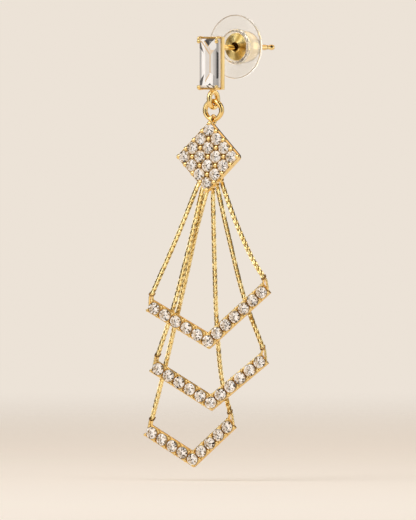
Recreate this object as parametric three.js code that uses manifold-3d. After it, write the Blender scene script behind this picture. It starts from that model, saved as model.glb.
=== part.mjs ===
// Drop earring with a chain tassel. A claw-set baguette stud on an ear post carries a square pavé
// plaque on a jump ring. Six twisted chains hang from the plaque's lower edges, and each pair of
// them holds one pavé chevron by the ends of its arms.
//
// Millimetres, +Z up. The origin is on the post's axis at the stud's flat back, where the post enters
// the ear lobe. The stud faces -Y and the post runs back along +Y.

import * as THREE from 'three';
import { ConvexGeometry } from 'three/addons/geometries/ConvexGeometry.js';
import { mergeVertices } from 'three/addons/utils/BufferGeometryUtils.js';
import Module from 'manifold-3d';

const wasm = await Module();
wasm.setup();

// ---------------------------------------------------------------- driving dimensions

// Clearance between pieces that hang in, slide on or sit in each other
const CLEARANCE = 0.12;

// Gap between a chain's last link and the eye that it hooks
const CHAIN_GAP = 0.25;

// Baguette stone, long side upright
const STONE_WIDTH = 3.86;
const STONE_LENGTH = 7.5;
const STONE_GIRDLE_Y = -1.2;
const STONE_TABLE_Y = -1.52;
const STONE_KEEL_Y = -0.42;
const STONE_BEVEL = 0.45;
const STONE_END_SLOPE = 1.5;

// Open-fronted cup under the stone, with two claws on each of its end walls
const CUP_WIDTH = 4.14;
const CUP_LENGTH = 8.14;
const CUP_WALL = 0.25;
const CUP_DEPTH = 0.92;
const CUP_FLOOR = 0.3;
const CUP_TOP = 1.65;
const CLAW_X = 1.76;
const CLAW_RADIUS = 0.15;
const CLAW_PROUD = 0.03;
const CLAW_BEAD_RADIUS = 0.25;
const CLAW_BEAD_Y = -1.66;
const CLAW_BEAD_REACH = 0.27;

// Ear post with a groove near its tail
const POST_RADIUS = 0.42;
const POST_LENGTH = 15.6;
const GROOVE_RADIUS = 0.32;
const GROOVE_FROM_TAIL = 1.9;
const GROOVE_LENGTH = 1.1;

// Oval bail soldered under the cup, in the front-to-back plane
const BAIL_WIRE = 0.4;
const BAIL_HALF_DEPTH = 1.08;
const BAIL_HALF_HEIGHT = 1.2;
const BAIL_Y = -0.12;

// Jump ring that hangs in the bail, turned a little to the side with the plaque
const JUMP_RING_RADIUS = 1.43;
const JUMP_RING_WIRE = 0.41;
const JUMP_RING_TURN = 7.2;

// Clutch that slides on the post: a gold barrel in a clear comfort disc. It sits a little high on it.
const CLUTCH_Y = 5.4;
const CLUTCH_RISE = 0.1;
const BARREL_RADIUS = 2.13;
const BARREL_LENGTH = 4.35;
const BARREL_BORE = 0.64;
const DISC_RADIUS = 4.95;
const DISC_THICKNESS = 0.45;
const COLLAR_WALL = 0.32;
const COLLAR_LENGTH = 2.9;

// Pavé square turned 45 degrees, with rows of round stones
const PLAQUE_ROWS = 4;
const PLAQUE_PITCH = 1.94;
const PLAQUE_SIDE = 7.8;
const PLAQUE_THICKNESS = 1.1;
const PLAQUE_CORNER = 0.6;
const PLAQUE_AT = new THREE.Vector3(0, -1.6, -16.8);
const PLAQUE_TURN = 7.2;
const PLAQUE_TIP = 5.1;
const EYELET_RADIUS = 0.68;
const EYELET_WIRE = 0.2;

// Chain lugs on the plaque's back, from the bottom corner outwards
const LUG_RADIUS = 0.38;
const LUG_WIRE = 0.18;
const LUG_RISE = 0.15;
const LUG_SPACING = 0.71;
const LUG_FIRST = 0.53;

// Pavé settings: round stones and the beads that hold them
const CROWN_HEIGHT = 0.3;
const GIRDLE_RADIUS = 0.9;
const TABLE_RADIUS = 0.5;
const BEAD_RADIUS = 0.26;
const BEAD_TOP_RADIUS = 0.12;
const BEAD_HEIGHT = 0.26;
const SEAT_DEPTH = 0.12;

// Chevron bars: one row of stones down each arm and one at the point
const CHEVRON_PITCH = 2.02;
const CHEVRON_SLOPE = 34.5;
const CHEVRON_HALF_WIDTH = 1.04;
const CHEVRON_THICKNESS = 0.7;
const CHEVRON_BEAD_OFFSET = 0.8;
const LOOP_WIRE = 0.25;
const LOOP_Y = 0.4;
const LOOP_UP = 2.06;

// Each bar's stones left and right of its point, how far the tops of its left and right loops lean
// outwards, its point stone's place, and how it hangs, in degrees: turned about the vertical, tipped
// with its foot to the front, and rolled with its right end up
const CHEVRONS = [
  {
    name: 'chevron_upper', left: 5, right: 6, lean: [0.33, 0.6],
    at: [0.45, -2.2, -45.17], turn: 12.2, tip: -7, roll: 4.7,
  },
  {
    name: 'chevron_middle', left: 5, right: 5, lean: [0.1, 0.6],
    at: [0.03, -0.9, -54.65], turn: 15.8, tip: 2, roll: 4.1,
  },
  {
    name: 'chevron_lower', left: 4, right: 4, lean: [-0.1, 0.6],
    at: [-5.11, 1.4, -63.5], turn: 7.5, tip: -4, roll: 4.7,
  },
];

// Twisted chain, as the tube that its links fill. Each sags between its lug and its chevron:
// via rows are share of the way down, distance inwards and distance back.
const CHAIN_RADIUS = 0.33;
const CHAIN_SIDES = 8;
const CHAIN_STEP = 1.8;
const CHAINS = [
  { name: 'chain_upper_left', chevron: 0, side: -1, lug: 2, via: [[0.5, 0.2, 0]] },
  { name: 'chain_upper_right', chevron: 0, side: 1, lug: 2, via: [[0.4, 0.63, 0], [0.8, 0.6, 0]] },
  { name: 'chain_middle_left', chevron: 1, side: -1, lug: 1, via: [[0.35, 0.42, 0], [0.72, 0.55, 0]] },
  { name: 'chain_middle_right', chevron: 1, side: 1, lug: 1, via: [[0.3, 0.5, 0], [0.68, 0.85, 0]] },
  {
    name: 'chain_lower_left', chevron: 2, side: -1, lug: 0,
    via: [[0.15, -0.2, 0], [0.35, -0.05, 0], [0.75, 0.1, 0]],
  },
  {
    name: 'chain_lower_right', chevron: 2, side: 1, lug: 0,
    via: [[0.3, 0.7, 0], [0.6, 1.3, 0.1], [0.85, 1.3, 0.3]],
  },
];

// ---------------------------------------------------------------- materials

const gold = new THREE.MeshStandardMaterial({ color: 0xd9a441, roughness: 0.18, metalness: 1 });
const crystal = new THREE.MeshStandardMaterial({ color: 0xe9eaec, roughness: 0.05, metalness: 0 });
const clearPlastic = new THREE.MeshStandardMaterial({ color: 0xeee8df, roughness: 0.12, metalness: 0 });

// ---------------------------------------------------------------- helpers

const radians = THREE.MathUtils.degToRad;

function toSolid(geometry) {
  const bare = geometry.clone();
  bare.deleteAttribute('normal');
  bare.deleteAttribute('uv');
  const merged = mergeVertices(bare, 1e-4);
  const index = merged.index.array;
  const triangles = [];
  for (let i = 0; i < index.length; i += 3) {
    const [a, b, c] = [index[i], index[i + 1], index[i + 2]];
    if (a !== b && b !== c && c !== a) triangles.push(a, b, c);
  }
  return new wasm.Manifold(new wasm.Mesh({
    numProp: 3,
    vertProperties: new Float32Array(merged.attributes.position.array),
    triVerts: new Uint32Array(triangles),
  }));
}

function toGeometry(solid) {
  const mesh = solid.getMesh();
  const geometry = new THREE.BufferGeometry();
  geometry.setAttribute('position', new THREE.BufferAttribute(mesh.vertProperties, 3));
  geometry.setIndex(new THREE.BufferAttribute(mesh.triVerts, 1));
  geometry.computeVertexNormals();
  return geometry;
}

function join(geometries) {
  let whole = toSolid(geometries[0]);
  for (const geometry of geometries.slice(1)) whole = whole.add(toSolid(geometry));
  return whole;
}

function piece(name, geometry, material) {
  const mesh = new THREE.Mesh(geometry, material);
  mesh.name = name;
  return mesh;
}

// Turned piece about the Y axis, from rows of radius and y
function lathe(profile, sides) {
  return new THREE.LatheGeometry(profile.map(([r, y]) => new THREE.Vector2(r, y)), sides);
}

// Closed ring of round wire. Its hole faces +Z until it is turned.
function wireRing(radius, wire, steps = 20, sides = 8) {
  return new THREE.TorusGeometry(radius, wire, sides, steps);
}

// Round wire or chain along a curve, closed at both ends
function wireAlong(curve, radius, sides, steps) {
  const section = new THREE.Shape();
  for (let i = 0; i < sides; i++) {
    const angle = (2 * Math.PI * i) / sides;
    const [x, y] = [radius * Math.cos(angle), radius * Math.sin(angle)];
    if (i === 0) section.moveTo(x, y);
    else section.lineTo(x, y);
  }
  section.closePath();
  return new THREE.ExtrudeGeometry(section, { extrudePath: curve, steps, bevelEnabled: false });
}

// Flat plate from an outline of x and z, with its face at y = 0 and its back at y = thickness
function plate(outline, thickness) {
  const body = new THREE.ExtrudeGeometry(outline, { depth: thickness, bevelEnabled: false });
  return body.rotateX(Math.PI / 2).translate(0, thickness, 0);
}

function roundStone(x, z) {
  const height = CROWN_HEIGHT + SEAT_DEPTH;
  const crown = new THREE.CylinderGeometry(GIRDLE_RADIUS, TABLE_RADIUS, height, 8);
  return crown.rotateY(Math.PI / 8).translate(x, SEAT_DEPTH - height / 2, z);
}

function bead(x, z) {
  const height = BEAD_HEIGHT + SEAT_DEPTH;
  const grain = new THREE.CylinderGeometry(BEAD_RADIUS, BEAD_TOP_RADIUS, height, 6);
  return grain.translate(x, SEAT_DEPTH - height / 2, z);
}

// Places a hanging piece: turned about the vertical, then tipped, then rolled
function hang(object, at, turn, tip, roll = 0) {
  object.position.copy(at);
  object.rotation.set(radians(-tip), radians(-roll), radians(turn), 'ZXY');
  object.updateMatrixWorld(true);
  return object;
}

// ---------------------------------------------------------------- stud

const cupCentreZ = CUP_TOP - CUP_LENGTH / 2;
const cupBottom = CUP_TOP - CUP_LENGTH;
const bailZ = cupBottom - BAIL_HALF_HEIGHT - BAIL_WIRE + 0.08;

function baguetteStone() {
  const [w, l] = [STONE_WIDTH / 2, STONE_LENGTH / 2];
  const points = [];
  for (const sx of [-1, 1]) {
    for (const sz of [-1, 1]) {
      points.push(new THREE.Vector3(sx * w, STONE_GIRDLE_Y, sz * l));
      points.push(new THREE.Vector3(sx * w, STONE_GIRDLE_Y + CLEARANCE, sz * l));
      points.push(new THREE.Vector3(sx * (w - STONE_BEVEL), STONE_TABLE_Y, sz * (l - STONE_BEVEL)));
    }
  }
  for (const sz of [-1, 1]) points.push(new THREE.Vector3(0, STONE_KEEL_Y, sz * (l - STONE_END_SLOPE)));
  return new ConvexGeometry(points).translate(0, 0, cupCentreZ);
}

function cup() {
  const block = new THREE.BoxGeometry(CUP_WIDTH, CUP_DEPTH, CUP_LENGTH);
  block.translate(0, -CUP_DEPTH / 2, cupCentreZ);
  const pocketWidth = CUP_WIDTH - 2 * CUP_WALL;
  const pocketLength = CUP_LENGTH - 2 * CUP_WALL;
  const pocket = new THREE.BoxGeometry(pocketWidth, CUP_DEPTH, pocketLength);
  pocket.translate(0, -CUP_FLOOR - CUP_DEPTH / 2, cupCentreZ);
  return toSolid(block).subtract(toSolid(pocket));
}

function claw(sideX, sideZ) {
  const x = sideX * CLAW_X;
  const z = cupCentreZ + sideZ * (CUP_LENGTH / 2 + CLAW_PROUD - CLAW_RADIUS);
  const armLength = -CLAW_BEAD_Y - 0.5;
  const arm = new THREE.CylinderGeometry(CLAW_RADIUS, CLAW_RADIUS, armLength, 8);
  arm.translate(x, CLAW_BEAD_Y + armLength / 2, z);
  const tip = new THREE.IcosahedronGeometry(CLAW_BEAD_RADIUS, 1);
  tip.translate(x, CLAW_BEAD_Y, z - sideZ * CLAW_BEAD_REACH);
  return [arm, tip];
}

function earPost() {
  const grooveStart = POST_LENGTH - GROOVE_FROM_TAIL;
  const grooveEnd = grooveStart + GROOVE_LENGTH;
  const profile = [
    [0, -CUP_FLOOR / 2],
    [POST_RADIUS, -CUP_FLOOR / 2],
    [POST_RADIUS, grooveStart - 0.15],
    [GROOVE_RADIUS, grooveStart],
    [GROOVE_RADIUS, grooveEnd],
    [POST_RADIUS, grooveEnd + 0.15],
    [POST_RADIUS, POST_LENGTH - 0.25],
    [POST_RADIUS - 0.2, POST_LENGTH],
    [0, POST_LENGTH],
  ];
  return lathe(profile, 16);
}

function bail() {
  const ring = wireRing(1, BAIL_WIRE, 20, 8);
  const position = ring.attributes.position;
  for (let i = 0; i < position.count; i++) {
    const angle = Math.atan2(position.getY(i), position.getX(i));
    const x = position.getX(i) + (BAIL_HALF_DEPTH - 1) * Math.cos(angle);
    const y = position.getY(i) + (BAIL_HALF_HEIGHT - 1) * Math.sin(angle);
    position.setXY(i, x, y);
  }
  ring.rotateX(Math.PI / 2).rotateZ(Math.PI / 2).translate(0, BAIL_Y, bailZ);
  const solder = new THREE.BoxGeometry(0.64, 0.9, 0.36).translate(0, BAIL_Y - 0.24, cupBottom - 0.08);
  return [ring, solder];
}

function studSetting() {
  const parts = [earPost(), ...bail()];
  for (const sideX of [-1, 1]) {
    for (const sideZ of [-1, 1]) parts.push(...claw(sideX, sideZ));
  }
  let whole = cup();
  for (const part of parts) whole = whole.add(toSolid(part));
  return toGeometry(whole);
}

// ---------------------------------------------------------------- clutch

function clutchBarrel() {
  const back = CLUTCH_Y + BARREL_LENGTH;
  const profile = [
    [BARREL_BORE, CLUTCH_Y + 0.35],
    [BARREL_BORE + 0.1, CLUTCH_Y],
    [1.35, CLUTCH_Y + 0.12],
    [1.95, CLUTCH_Y + 0.38],
    [BARREL_RADIUS, CLUTCH_Y + 0.6],
    [BARREL_RADIUS, CLUTCH_Y + 1.9],
    [1.95, CLUTCH_Y + 2.8],
    [1.5, CLUTCH_Y + 3.7],
    [1.05, back - 0.1],
    [0.85, back],
    [BARREL_BORE, back],
    [BARREL_BORE, CLUTCH_Y + 0.35],
  ];
  return lathe(profile, 24).translate(0, 0, CLUTCH_RISE);
}

function clutchDisc() {
  const bore = BARREL_RADIUS + CLEARANCE;
  const outer = bore + COLLAR_WALL;
  const face = CLUTCH_Y + 0.12;
  const profile = [
    [bore, face - 0.1],
    [outer - 0.05, face - 0.12],
    [outer + 0.1, face],
    [DISC_RADIUS - 0.12, face],
    [DISC_RADIUS, face + 0.12],
    [DISC_RADIUS, face + DISC_THICKNESS - 0.12],
    [DISC_RADIUS - 0.12, face + DISC_THICKNESS],
    [outer + 0.1, face + DISC_THICKNESS],
    [outer, face + DISC_THICKNESS + 0.15],
    [outer - 0.08, face + COLLAR_LENGTH - 0.1],
    [bore, face + COLLAR_LENGTH],
    [bore, face - 0.1],
  ];
  return lathe(profile, 36).translate(0, 0, CLUTCH_RISE);
}

// ---------------------------------------------------------------- jump ring

const jumpRingZ = bailZ - BAIL_HALF_HEIGHT + BAIL_WIRE + CLEARANCE + JUMP_RING_WIRE - JUMP_RING_RADIUS;
const hangPoint = new THREE.Vector3(0, BAIL_Y, jumpRingZ - JUMP_RING_RADIUS);

function jumpRing() {
  const ring = wireRing(JUMP_RING_RADIUS, JUMP_RING_WIRE, 24, 10);
  return ring.rotateX(Math.PI / 2).rotateZ(radians(JUMP_RING_TURN)).translate(0, BAIL_Y, jumpRingZ);
}

// ---------------------------------------------------------------- plaque

const plaqueFrame = hang(new THREE.Object3D(), PLAQUE_AT, PLAQUE_TURN, PLAQUE_TIP);

// A lug's centre on the plaque's back, at the lower edge
function lugCentre(side, index) {
  const x = LUG_FIRST + index * LUG_SPACING;
  return new THREE.Vector3(side * x, PLAQUE_THICKNESS + 0.05, x - PLAQUE_SIDE / Math.SQRT2 + LUG_RISE);
}

function plaqueOutline() {
  const half = PLAQUE_SIDE / 2;
  const round = PLAQUE_CORNER;
  const corners = [[1, 1], [-1, 1], [-1, -1], [1, -1]];
  const points = [];
  corners.forEach(([sx, sy], i) => {
    const start = i * Math.PI / 2;
    for (const step of [0, 0.5, 1]) {
      const angle = start + step * Math.PI / 2;
      points.push(new THREE.Vector2(
        sx * (half - round) + round * Math.cos(angle),
        sy * (half - round) + round * Math.sin(angle),
      ).rotateAround(new THREE.Vector2(), Math.PI / 4));
    }
  });
  return new THREE.Shape(points);
}

function pavePlaque() {
  const parts = [plate(plaqueOutline(), PLAQUE_THICKNESS)];
  const step = PLAQUE_PITCH / Math.SQRT2;
  const middle = (PLAQUE_ROWS - 1) / 2;
  for (let i = 0; i < PLAQUE_ROWS; i++) {
    for (let j = 0; j < PLAQUE_ROWS; j++) {
      const [u, v] = [i - middle, j - middle];
      parts.push(roundStone((u - v) * step, -(u + v) * step));
    }
  }
  for (let i = 0; i <= PLAQUE_ROWS; i++) {
    for (let j = 0; j <= PLAQUE_ROWS; j++) {
      const limit = middle + 0.42;
      const u = THREE.MathUtils.clamp(i - PLAQUE_ROWS / 2, -limit, limit);
      const v = THREE.MathUtils.clamp(j - PLAQUE_ROWS / 2, -limit, limit);
      parts.push(bead((u - v) * step, -(u + v) * step));
    }
  }
  const eyeletCentre = plaqueFrame.worldToLocal(hangPoint.clone());
  const eyelet = wireRing(EYELET_RADIUS, EYELET_WIRE, 16, 8).rotateY(Math.PI / 2);
  parts.push(eyelet.translate(...eyeletCentre));
  for (const side of [-1, 1]) {
    for (const index of [0, 1, 2]) {
      const lug = wireRing(LUG_RADIUS, LUG_WIRE, 10, 6).rotateY(Math.PI / 2);
      parts.push(lug.translate(...lugCentre(side, index)));
    }
  }
  return toGeometry(join(parts));
}

// ---------------------------------------------------------------- chevrons

const slope = radians(CHEVRON_SLOPE);

// A point on an arm: a distance from the point stone along the arm, and one up across it
function onArm(side, along, across) {
  return [
    side * (along * Math.cos(slope) - across * Math.sin(slope)),
    along * Math.sin(slope) + across * Math.cos(slope),
  ];
}

function chevronOutline({ left, right }) {
  const w = CHEVRON_HALF_WIDTH;
  const reach = (stones) => (stones + 0.5) * CHEVRON_PITCH;
  return new THREE.Shape([
    new THREE.Vector2(0, -w / Math.cos(slope)),
    new THREE.Vector2(...onArm(1, reach(right), -w)),
    new THREE.Vector2(...onArm(1, reach(right), w)),
    new THREE.Vector2(0, w / Math.cos(slope)),
    new THREE.Vector2(...onArm(-1, reach(left), w)),
    new THREE.Vector2(...onArm(-1, reach(left), -w)),
  ]);
}

// A chevron's two ends: which side it is, how many stones lead to it and how far its loop leans out
function barEnds({ left, right, lean }) {
  return [{ side: -1, stones: left, out: lean[0] }, { side: 1, stones: right, out: lean[1] }];
}

// Top of the wire loop at an arm's end, where the chain hooks in
function loopTop({ side, stones, out }) {
  const [x, z] = onArm(side, stones * CHEVRON_PITCH, 0);
  return new THREE.Vector3(x + side * out, LOOP_Y, z + LOOP_UP);
}

function endLoop(end) {
  const { side, stones } = end;
  const foot = (across) => {
    const [x, z] = onArm(side, (stones + 0.32) * CHEVRON_PITCH, across);
    return new THREE.Vector3(x, LOOP_Y, z);
  };
  const [low, high] = [foot(-0.62), foot(0.72)];
  const top = loopTop(end);
  const control = top.clone().multiplyScalar(2).addScaledVector(low, -0.5).addScaledVector(high, -0.5);
  const curve = new THREE.QuadraticBezierCurve3(low, control, high);
  return wireAlong(curve, LOOP_WIRE, 6, 9);
}

function chevronBar(chevron) {
  const parts = [plate(chevronOutline(chevron), CHEVRON_THICKNESS), roundStone(0, 0)];
  parts.push(bead(0, 0.32 - CHEVRON_HALF_WIDTH / Math.cos(slope)));
  for (const end of barEnds(chevron)) {
    const { side, stones } = end;
    for (let i = 1; i <= stones; i++) parts.push(roundStone(...onArm(side, i * CHEVRON_PITCH, 0)));
    for (let i = 0; i <= stones; i++) {
      const along = (i + (i === stones ? 0.42 : 0.5)) * CHEVRON_PITCH;
      for (const across of [-CHEVRON_BEAD_OFFSET, CHEVRON_BEAD_OFFSET]) {
        parts.push(bead(...onArm(side, along, across)));
      }
    }
    parts.push(endLoop(end));
  }
  return toGeometry(join(parts));
}

// ---------------------------------------------------------------- chains

// Route of a chain from its lug to its chevron's loop, stopping short of both wires
function chainRoute({ side, lug, via }, chevron, chevronFrame) {
  const start = lugCentre(side, lug);
  start.z -= LUG_RADIUS;
  start.applyMatrix4(plaqueFrame.matrixWorld);
  const [leftEnd, rightEnd] = barEnds(chevron);
  const end = loopTop(side < 0 ? leftEnd : rightEnd).applyMatrix4(chevronFrame.matrixWorld);
  const points = via.map(([share, inwards, back]) => {
    const point = start.clone().lerp(end, share);
    return point.add(new THREE.Vector3(-side * inwards, back, 0));
  });
  const away = points[0].clone().sub(start).normalize();
  const arrive = end.clone().sub(points[points.length - 1]).normalize();
  start.addScaledVector(away, LUG_WIRE + CHAIN_GAP);
  end.addScaledVector(arrive, -(LOOP_WIRE + CHAIN_GAP));
  return new THREE.CatmullRomCurve3([start, ...points, end]);
}

function chainTube(route) {
  const steps = Math.round(route.getLength() / CHAIN_STEP);
  return wireAlong(route, CHAIN_RADIUS, CHAIN_SIDES, steps);
}

// ---------------------------------------------------------------- assembly

const earring = new THREE.Group();

earring.add(piece('baguette_stone', baguetteStone(), crystal));
earring.add(piece('stud_setting', studSetting(), gold));
earring.add(piece('clutch_barrel', clutchBarrel(), gold));
earring.add(piece('clutch_disc', clutchDisc(), clearPlastic));
earring.add(piece('jump_ring', jumpRing(), gold));

const drop = new THREE.Group();
const plaque = piece('pave_plaque', pavePlaque(), gold);
drop.add(hang(plaque, PLAQUE_AT, PLAQUE_TURN, PLAQUE_TIP));

const bars = CHEVRONS.map((chevron) => {
  const bar = piece(chevron.name, chevronBar(chevron), gold);
  return hang(bar, new THREE.Vector3(...chevron.at), chevron.turn, chevron.tip, chevron.roll);
});
drop.add(...bars);

for (const chain of CHAINS) {
  const route = chainRoute(chain, CHEVRONS[chain.chevron], bars[chain.chevron]);
  drop.add(piece(chain.name, chainTube(route), gold));
}
earring.add(drop);

export default earring;
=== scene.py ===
import math
import random

import bmesh
import bpy
from mathutils import Matrix, Vector
from mathutils.geometry import interpolate_bezier


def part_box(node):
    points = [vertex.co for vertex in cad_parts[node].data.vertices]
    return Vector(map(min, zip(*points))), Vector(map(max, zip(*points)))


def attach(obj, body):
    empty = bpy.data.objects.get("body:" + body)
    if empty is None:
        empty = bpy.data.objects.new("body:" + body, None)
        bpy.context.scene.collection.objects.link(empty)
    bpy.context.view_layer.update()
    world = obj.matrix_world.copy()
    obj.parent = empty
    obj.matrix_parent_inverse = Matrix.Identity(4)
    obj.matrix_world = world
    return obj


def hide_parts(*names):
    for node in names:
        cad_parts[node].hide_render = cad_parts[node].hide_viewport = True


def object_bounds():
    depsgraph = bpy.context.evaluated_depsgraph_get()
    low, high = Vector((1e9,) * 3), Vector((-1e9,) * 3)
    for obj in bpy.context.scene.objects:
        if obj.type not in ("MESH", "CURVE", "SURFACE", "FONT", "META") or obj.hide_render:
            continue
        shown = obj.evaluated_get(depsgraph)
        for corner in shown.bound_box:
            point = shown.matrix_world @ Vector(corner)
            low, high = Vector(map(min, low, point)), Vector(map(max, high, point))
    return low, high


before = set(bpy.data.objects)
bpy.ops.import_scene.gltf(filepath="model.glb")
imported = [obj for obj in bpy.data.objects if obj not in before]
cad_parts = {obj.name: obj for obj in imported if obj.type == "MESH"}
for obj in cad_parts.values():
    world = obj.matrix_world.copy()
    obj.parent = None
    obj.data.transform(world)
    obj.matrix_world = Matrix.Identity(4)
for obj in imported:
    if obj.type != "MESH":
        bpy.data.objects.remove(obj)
cad_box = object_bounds()


# ---- Stud setting
# A shallow cup of gold-plated brass that carries the baguette. Four wire claws rise from its end walls
# and bend over the stone's corners. The ear post and the bail are soldered on, so that cup, claws,
# post and bail are one piece of metal.

MM = 0.001
CUP_LOW, CUP_HIGH = Vector((-2.07, -0.92, -6.49)) * MM, Vector((2.07, 0.0, 1.65)) * MM
CUP_WALL = 0.25 * MM
CUP_POCKET = 0.6 * MM
CUP_EDGE = 0.07 * MM
CLAW_ACROSS, CLAW_INSET = 1.74 * MM, 0.13 * MM
CLAW_WIRE = 0.18 * MM
CLAW_TIP = Vector((0.31, 0.279, 0.31)) * MM
CLAW_ROOT, CLAW_KNEE, CLAW_FRONT = -0.7 * MM, -1.46 * MM, -1.66 * MM
CLAW_BEND, CLAW_LEAN = 0.1 * MM, 0.06 * MM
CLAW_REACH = {1: 0.6 * MM, -1: 0.26 * MM}
BAIL_CENTRE = Vector((0, -0.12, -8.01)) * MM
BAIL_HALF_DEPTH = 1.08 * MM
BAIL_HALF_HEIGHT = 1.2 * MM
BAIL_WIRE = 0.4 * MM
SOLDER_SIZE = Vector((0.36, 0.55, 0.26)) * MM
SOLDER_FORWARD, SOLDER_DROP = 0.24 * MM, 0.06 * MM
POST_PROFILE = [
    (0, -0.1), (0.42, -0.1), (0.42, 13.5), (0.4, 13.6), (0.33, 13.75), (0.32, 14.2), (0.33, 14.7),
    (0.4, 14.85), (0.42, 14.95), (0.42, 15.3), (0.38, 15.48), (0.26, 15.57), (0, 15.6),
]
GOLD_LIGHT = (1.0, 0.78, 0.37, 1)
GOLD_DEEP = (0.92, 0.63, 0.23, 1)
# Colours of a darker brown gold painted as shade on the cup's front lip.
RIM_SHADE_LIGHT, RIM_SHADE_DEEP = (0.8, 0.5, 0.18, 1), (0.55, 0.32, 0.09, 1)


class Wire:
    """A value on its way through a material. Sums on it add Math nodes."""

    def __init__(self, finish, socket):
        self.finish = finish
        self.socket = socket

    def maths(self, operation, first, second):
        return self.finish.node("Math", {"operation": operation}, {0: first, 1: second})

    def __add__(self, other):
        return self.maths("ADD", self, other)

    def __radd__(self, other):
        return self.maths("ADD", other, self)

    def __sub__(self, other):
        return self.maths("SUBTRACT", self, other)

    def __rsub__(self, other):
        return self.maths("SUBTRACT", other, self)

    def __mul__(self, other):
        return self.maths("MULTIPLY", self, other)

    def __rmul__(self, other):
        return self.maths("MULTIPLY", other, self)


class Finish:
    """A material: its shader, and one method that adds any other node."""

    def __init__(self, name):
        self.material = bpy.data.materials.new(name)
        self.material.use_nodes = True
        self.tree = self.material.node_tree
        self.shader = self.tree.nodes["Principled BSDF"]

    def node(self, kind, settings, sockets, out=0):
        made = self.tree.nodes.new("ShaderNode" + kind)
        for key, value in settings.items():
            setattr(made, key, value)
        for key, value in sockets.items():
            self.feed(made.inputs[key], value)
        return Wire(self, made.outputs[out])

    def feed(self, socket, value):
        if isinstance(value, Wire):
            self.tree.links.new(value.socket, socket)
        else:
            socket.default_value = value

    def surface(self, **values):
        for key, value in values.items():
            self.feed(self.shader.inputs[key.replace("_", " ")], value)

    def noise(self, scale, detail=2.0):
        place = self.node("TexCoord", {}, {}, "Object")
        return self.node("TexNoise", {}, {"Vector": place, "Scale": scale, "Detail": detail})

    def mix(self, factor, first, second):
        return self.node("Mix", {"data_type": "RGBA"}, {0: factor, 6: first, 7: second}, 2)

    def bump(self, height, distance, strength=1.0):
        return self.node("Bump", {}, {"Height": height, "Distance": distance, "Strength": strength})


def gold_finish(name, roughness, grain, grain_depth, light=GOLD_LIGHT, deep=GOLD_DEEP):
    """Gold plate: a little deeper in colour in patches, with a fine grain left by the polishing."""
    finish = Finish(name)
    patches = finish.noise(500.0)
    fine = finish.noise(grain, 3.0)
    finish.surface(
        Base_Color=finish.mix(patches, light, deep),
        Metallic=1.0,
        Roughness=roughness + 0.12 * (patches - 0.5) + 0.08 * fine,
        Normal=finish.bump(fine, grain_depth),
    )
    return finish.material


def ball(work, centre, size, around=12, down=8, place=Matrix()):
    """A bead of metal. Its size is its half width, half depth and half height."""
    spot = place @ Matrix.Translation(centre) @ Matrix.Diagonal((*size, 1))
    bmesh.ops.create_uvsphere(work, u_segments=around, v_segments=down, radius=1, matrix=spot)


def wire(work, route, radius, closed=False, sides=12, steps=6):
    """Round wire bent smoothly through the points of a route."""
    curve = bpy.data.curves.new("wire", "CURVE")
    curve.dimensions = "3D"
    curve.bevel_depth = radius
    curve.bevel_resolution = sides // 2 - 2
    curve.resolution_u = steps
    curve.use_fill_caps = not closed
    spline = curve.splines.new("BEZIER")
    spline.bezier_points.add(len(route) - 1)
    for knot, point in zip(spline.bezier_points, route):
        knot.co = point
        knot.handle_left_type = knot.handle_right_type = "AUTO"
    spline.use_cyclic_u = closed
    holder = bpy.data.objects.new("wire", curve)
    work.from_mesh(holder.to_mesh())
    bpy.data.objects.remove(holder)


def oval(centre, across, up, half_across, half_up, knots=12):
    """Points of an oval route in the plane of two directions."""
    angles = [math.tau * i / knots for i in range(knots)]
    return [centre + across * half_across * math.cos(a) + up * half_up * math.sin(a) for a in angles]


def turned(work, profile, rise=0.0, steps=48, closed=False):
    """A piece turned about the post's direction. Its profile gives radius and depth in millimetres."""
    knots = [work.verts.new(Vector((r, y, rise)) * MM) for r, y in profile]
    edges = [work.edges.new(pair) for pair in zip(knots, knots[1:])]
    if closed:
        edges.append(work.edges.new((knots[-1], knots[0])))
    centre = Vector((0, 0, rise)) * MM
    bmesh.ops.spin(
        work, geom=knots + edges, cent=centre, axis=(0, 1, 0),
        angle=math.tau, steps=steps, use_merge=True,
    )


def rounded(work, edges, size, segments=2):
    """Rounds off edges, as tumbling and polishing do."""
    bmesh.ops.bevel(
        work, geom=list(edges), offset=size, offset_type="OFFSET", segments=segments, profile=0.5,
        affect="EDGES", clamp_overlap=True, material=-1,
    )


def sharp_edges(faces, angle=30):
    """The edges between these faces that turn by more than an angle."""
    found = {edge for face in faces for edge in face.edges if len(edge.link_faces) == 2}
    return [edge for edge in found if edge.calc_face_angle() > math.radians(angle)]


def join(work, part, place):
    """Puts a part at its place on the piece being worked."""
    bmesh.ops.transform(part, matrix=place, verts=part.verts)
    mesh = bpy.data.meshes.new("part")
    part.to_mesh(mesh)
    part.free()
    work.from_mesh(mesh)
    bpy.data.meshes.remove(mesh)


def piece(name, work, finishes, body, nodes, smooth=35):
    """Turns the worked metal or stone into a piece that rides on a body and stands for CAD nodes."""
    bmesh.ops.remove_doubles(work, verts=work.verts, dist=1e-7)
    bmesh.ops.recalc_face_normals(work, faces=work.faces)
    mesh = bpy.data.meshes.new(name)
    work.to_mesh(mesh)
    work.free()
    if smooth:
        mesh.shade_smooth()
        mesh.set_sharp_from_angle(angle=math.radians(smooth))
    for finish in finishes:
        mesh.materials.append(finish)
    made = bpy.data.objects.new(name, mesh)
    bpy.context.scene.collection.objects.link(made)
    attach(made, body)
    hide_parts(*nodes)
    return made


polished_gold = gold_finish("polished_gold", 0.06, 5000.0, 0.0015 * MM)
satin_gold = gold_finish("satin_gold", 0.26, 7000.0, 0.02 * MM)
shaded_rim_gold = gold_finish("shaded_rim_gold", 0.2, 7000.0, 0.02 * MM, RIM_SHADE_LIGHT, RIM_SHADE_DEEP)

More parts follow.
